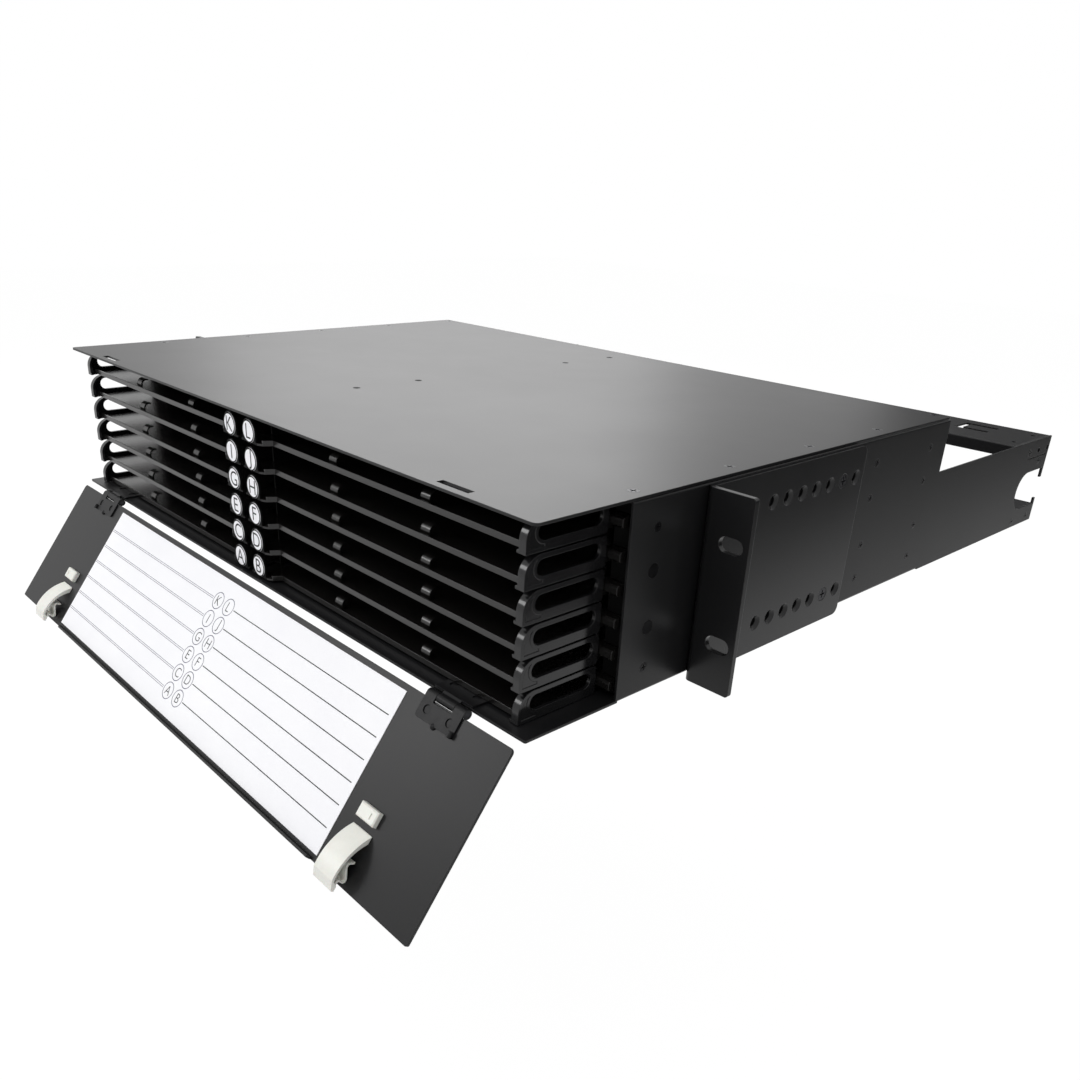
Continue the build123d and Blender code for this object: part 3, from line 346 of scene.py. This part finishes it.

# Painted shade over the tab behind a disc: dark pieces lie on its face and its edge, and on the front
# edge of the tongue that it stands on, where the tray falls into shade. Angles are in degrees, counted
# from the right-hand end of the disc upward; smallest stands in for nought where a side or the foot is
# divided by a share.
tabShadePiece = {
    "radius": 6.3, "foot": 5.58, "sheet": 1.0, "discSheet": 0.4, "lift": 0.02, "smallest": 1e-9,
    "faceStart": -70.0, "edgeStart": -36.0, "step": 2.0,
    "tongueHalf": 7.8, "tongueLow": -5.59, "tongueHigh": -4.59, "tongueLift": 0.01}


# The tab's outline is an arch: a half circle above the middle, straight sides and a foot below.
# At an angle a it lies in the direction (cos a, sin a), as far out as the circle, or below the
# middle as the nearer of the side and the foot.
def tabOutline(start):
    end = 180.0 - start
    angle = np.radians(np.arange(start, end + tabShadePiece["step"] / 2, tabShadePiece["step"]))
    direction = np.stack([np.cos(angle), np.sin(angle)], 1)
    share = np.maximum(np.abs(direction), tabShadePiece["smallest"])
    below = np.minimum(tabShadePiece["radius"] / share[:, 0], tabShadePiece["foot"] / share[:, 1])
    reach = np.where(direction[:, 1] < 0, below, tabShadePiece["radius"]) + tabShadePiece["lift"]
    return direction, direction * reach[:, None]


# Two rows of points at their own depths behind the disc's face, joined by a strip of quads
def bandShape(first, firstDepth, second, secondDepth):
    index = np.arange(len(first) - 1)
    points = np.concatenate([np.insert(first, 1, firstDepth, 1),
                             np.insert(second, 1, secondDepth, 1)])
    return points, np.stack([index, index + 1, index + 1 + len(first), index + len(first)], 1)


# The face runs from the disc's circle out to the arch, the edge from the arch back by the sheet
faceDirection, faceArch = tabOutline(tabShadePiece["faceStart"])
edgeArch = tabOutline(tabShadePiece["edgeStart"])[1]
frontDepth = tabShadePiece["discSheet"] - tabShadePiece["lift"]
backDepth = tabShadePiece["discSheet"] + tabShadePiece["sheet"]
tabEdge = bandShape(edgeArch, backDepth, edgeArch, frontDepth)
tongueRight, tongueLeft = [
    np.array([(x, tabShadePiece["tongueLow"]), (x, tabShadePiece["tongueHigh"])])
    for x in (tabShadePiece["tongueHalf"], -tabShadePiece["tongueHalf"])]
tongueDepth = frontDepth + tabShadePiece["tongueLift"]
tongueEdge = bandShape(tongueRight, tongueDepth, tongueLeft, tongueDepth)
for level in levels:
    for side, letters in discLetters.items():
        body = f"tray_unit_{side}_{level}"
        low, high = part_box(f"index_disc_{side}_{level}")
        middle = np.array(((low.x + high.x) / 2, low.y, (low.z + high.z) / 2))
        radius = (high.x - low.x) / 2 / millimetre
        points, faces = placeLetter(letters[level - 1], discLetter, middle, (1, 0, 0), (0, 0, 1))
        newPiece(f"index_letter_{side}_{level}", points, faces, ink, body, "printed_label")
        flat, faces = ringShape(np.zeros(2), radius - discRim["stroke"] / 2, discRim["stroke"])
        points = np.stack([flat[:, 0], np.full(len(flat), -discRim["lift"]), -flat[:, 1]], 1)
        newPiece(f"index_rim_{side}_{level}", middle + points * millimetre, faces, rimAndTabShadeCoat, body,
                 "tray_powder_coat")
        # The tab and tongue pieces are painted shade in front of each disc
        tabFace = bandShape(faceArch, frontDepth, faceDirection * radius, frontDepth)
        points, faces = gather([tabFace, tabEdge, tongueEdge])
        newPiece(f"index_tab_shade_{side}_{level}", middle + points * millimetre, faces, rimAndTabShadeCoat, body,
                 "tray_powder_coat")
print("index letters, rims and tabs placed")

# The printed label on the inside of the door, which hangs open at rest by openAngle degrees
# about the pin at hingeY and hingeZ. home is where the solids' own zero lies in the frame, and
# rise is the label's thickness. The label's own plane: across is +X, and down runs from the
# hinge to the free edge of the door. The letters stand with their heads to the hinge.
labelPrint = {
    "openAngle": 142.7, "hingeY": -2.0, "hingeZ": -0.8, "doorInner": -0.7, "doorLow": 1.2,
    "rise": 0.25, "home": (0.0, -97.9, -41.65), "lift": 0.02,
    "rows": 6, "firstRow": 15.5, "rowPitch": 10.9, "middle": -2.4, "ringSpacing": 11.4,
    "ringRadius": 4.65, "ringStroke": 0.42,
    "lineGap": 0.9, "lineStroke": 0.5, "doubleStroke": 0.26, "doubleGap": 0.95,
    "leftStart": 149.6, "rightEnd": 147.5}
labelLetter = {"height": 5.2, "thin": -0.012, "lift": labelPrint["lift"]}
labelLetters = {"left": "KIGECA", "right": "LJHFDB"}


# A point of the closed door, turned about the hinge to where it is at rest
def doorPoint(x, rise, down):
    angle = math.radians(labelPrint["openAngle"])
    y = labelPrint["doorInner"] + rise - labelPrint["hingeY"]
    z = labelPrint["doorLow"] + down - labelPrint["hingeZ"]
    turned = (x, labelPrint["hingeY"] + y * math.cos(angle) - z * math.sin(angle),
              labelPrint["hingeZ"] + y * math.sin(angle) + z * math.cos(angle))
    return (np.array(turned) + np.array(labelPrint["home"])) * millimetre


labelOrigin = doorPoint(0, labelPrint["rise"], 0)
labelDown = (doorPoint(0, labelPrint["rise"], 1) - labelOrigin) / millimetre
labelAcross = np.array((1.0, 0.0, 0.0))
labelNormal = np.cross(labelAcross, -labelDown)


# A straight stroke between two X values at one distance down the label
def strokeShape(start, end, down, stroke):
    low, high = down - stroke / 2, down + stroke / 2
    left, right = sorted((start, end))
    corners = [(left, low), (left, high), (right, high), (right, low)]
    return np.array(corners), np.array([(0, 1, 2, 3)])


# Points measured across and down, put on the label
def onLabel(flat):
    lifted = labelOrigin + labelNormal * labelPrint["lift"] * millimetre
    return lifted + (flat[:, :1] * labelAcross + flat[:, 1:2] * labelDown) * millimetre


# Each row has a ring with its letter on both sides of the middle, a double line to the left and
# a single line to the right
darkShapes, fineShapes, letterShapes = [], [], []
for row in range(labelPrint["rows"]):
    down = labelPrint["firstRow"] + labelPrint["rowPitch"] * row
    for side, letters in labelLetters.items():
        x = labelPrint["middle"] + signs[side] * labelPrint["ringSpacing"] / 2
        fineShapes.append(ringShape(np.array((x, down)), labelPrint["ringRadius"],
                                    labelPrint["ringStroke"]))
        start = x + signs[side] * (labelPrint["ringRadius"] + labelPrint["lineGap"])
        if side == "right":
            darkShapes.append(strokeShape(start, labelPrint["rightEnd"], down, labelPrint["lineStroke"]))
        else:
            for half in (-0.5, 0.5):
                fineShapes.append(strokeShape(start, -labelPrint["leftStart"],
                                              down + half * labelPrint["doubleGap"],
                                              labelPrint["doubleStroke"]))
        origin = labelOrigin + (labelAcross * x + labelDown * down) * millimetre
        letterShapes.append(placeLetter(letters[row], labelLetter, origin, labelAcross, -labelDown))

for name, shapes, material in (("label_lines", darkShapes, ink), ("label_rings", fineShapes, fineInk)):
    flat, faces = gather(shapes)
    newPiece(name, onLabel(flat), faces, material, "door", "printed_label")
newPiece("label_letters", *gather(letterShapes), ink, "door", "printed_label")
print("label printed")

# Camera, solved from the photograph; the turn is in degrees, lens and sensor in millimetres
cameraPlace = {"location": (0.443696, -0.318395, 0.151651), "turn": (64.8913, -2.0543, 48.1561),
               "lens": 32.1704, "sensor": 36.0, "shift": (0.0294, 0.08855), "nearest": 0.01}
cameraData = bpy.data.cameras.new("camera")
cameraData.lens = cameraPlace["lens"]
cameraData.sensor_width = cameraPlace["sensor"]
cameraData.sensor_fit = "HORIZONTAL"
cameraData.shift_x, cameraData.shift_y = cameraPlace["shift"]
cameraData.clip_start = cameraPlace["nearest"]
camera = newObject("camera", cameraData)
camera.location = cameraPlace["location"]
camera.rotation_euler = Euler([math.radians(a) for a in cameraPlace["turn"]])
bpy.context.scene.camera = camera


# The turn that points one axis of a lamp or a card at its aim
def aimedTurn(thing, axis):
    return (Vector(thing["aim"]) - Vector(thing["place"])).to_track_quat(axis, "Y")


# Softboxes: place, the point each one faces, size and radiance
softBoxes = {
    "topSoftBox": {"place": (0.1, -0.7, 1.6), "aim": (0.0, 0.0, 0.0), "size": (1.7, 1.7),
                   "radiance": 1.9},
    "frontSoftBox": {"place": (-1.3, -1.45, 0.8), "aim": (0.0, 0.0, 0.0), "size": (0.6, 0.5),
                     "radiance": 7.5},
    "backSoftBox": {"place": (-1.85, 1.5, 1.2), "aim": (0.0, 0.1, 0.0), "size": (1.4, 0.9),
                    "radiance": 3.9}}
for name, box in softBoxes.items():
    data = bpy.data.lights.new(name, "AREA")
    data.shape = "RECTANGLE"
    data.size, data.size_y = box["size"]
    data.energy = box["radiance"] * math.pi * box["size"][0] * box["size"][1]
    lamp = newObject(name, data)
    lamp.location = box["place"]
    lamp.rotation_euler = aimedTurn(box, "-Z").to_euler()
    lamp.visible_camera = False

# Black felt cards, out of the picture, that the right side and the far end of the cover mirror
blackCards = {
    "rightCard": {"place": (0.7, 1.7, -0.05), "aim": (0.2, 1.64, -0.05), "size": (2.6, 0.7)},
    "backCard": {"place": (-0.31, 2.1, 0.4), "aim": (0.0, 0.2, 0.0), "size": (0.85, 0.8)}}
cardLook = {"Base Color": hexColour("#141414"), "Roughness": 0.9}
rectangleCorners = ((-0.5, -0.5), (0.5, -0.5), (0.5, 0.5), (-0.5, 0.5))
cardMaterial = newMaterial("black_felt_card", cardLook)[0]
for name, card in blackCards.items():
    turn = aimedTurn(card, "Z").to_matrix()
    wide, high = card["size"]
    corners = [turn @ Vector((u * wide, v * high, 0)) + Vector(card["place"])
               for u, v in rectangleCorners]
    piece = meshObject(name, corners, [(0, 1, 2, 3)], cardMaterial)
    piece.visible_camera = False
    piece.visible_shadow = False


# A value of 1 for rays from the camera, off gloss and through glass, and 0 for the light that
# falls on things
def seenDirectly(tree):
    path = addNode(tree, "ShaderNodeLightPath")
    seen = addNode(tree, "ShaderNodeMath", operation="MAXIMUM",
                   links={0: path.outputs["Is Camera Ray"], 1: path.outputs["Is Glossy Ray"]})
    seenAll = addNode(tree, "ShaderNodeMath", operation="MAXIMUM",
                      links={0: seen.outputs["Value"], 1: path.outputs["Is Transmission Ray"]})
    return seenAll.outputs["Value"]


# White surroundings for what is seen directly, softer light of the same white for the rest
surroundings = {"seen": 1.0, "soft": 0.53}
world = bpy.data.worlds.new("studio")
bpy.context.scene.world = world
tree = emptyTree(world)
shownLight, softLight = [
    addNode(tree, "ShaderNodeBackground",
            values={"Color": hexColour(pureWhite), "Strength": surroundings[use]})
    for use in ("seen", "soft")]
mixed = addNode(tree, "ShaderNodeMixShader", links={0: seenDirectly(tree),
                                                    1: softLight.outputs["Background"],
                                                    2: shownLight.outputs["Background"]})
addNode(tree, "ShaderNodeOutputWorld", links={"Surface": mixed.outputs["Shader"]})

# A floor of pale paper, well below the object. Seen directly it is mostly white glow, with a
# small share of the paper that keeps a faint shadow.
floorLook = {"below": 0.30, "size": 12.0, "shadow": 0.08, "glow": 1.04, "paper": "#f4f4f4"}
floorMaterial = bpy.data.materials.new("white_paper_floor")
tree = emptyTree(floorMaterial)
share = addNode(tree, "ShaderNodeMath", operation="MULTIPLY", links={0: seenDirectly(tree)},
                values={1: 1 - floorLook["shadow"]})
paper = addNode(tree, "ShaderNodeBsdfDiffuse", values={"Color": hexColour(floorLook["paper"])})
glow = addNode(tree, "ShaderNodeEmission",
               values={"Color": hexColour(pureWhite), "Strength": floorLook["glow"]})
mixed = addNode(tree, "ShaderNodeMixShader", links={0: share.outputs["Value"],
                                                    1: paper.outputs["BSDF"],
                                                    2: glow.outputs["Emission"]})
addNode(tree, "ShaderNodeOutputMaterial", links={"Surface": mixed.outputs["Shader"]})
floorZ = startBounds[0][2] - floorLook["below"]
corners = [(u * floorLook["size"], v * floorLook["size"], floorZ) for u, v in rectangleCorners]
meshObject("floor", corners, [(0, 1, 2, 3)], floorMaterial)
bpy.context.scene.view_settings.view_transform = "Standard"
print("camera, light and floor set")
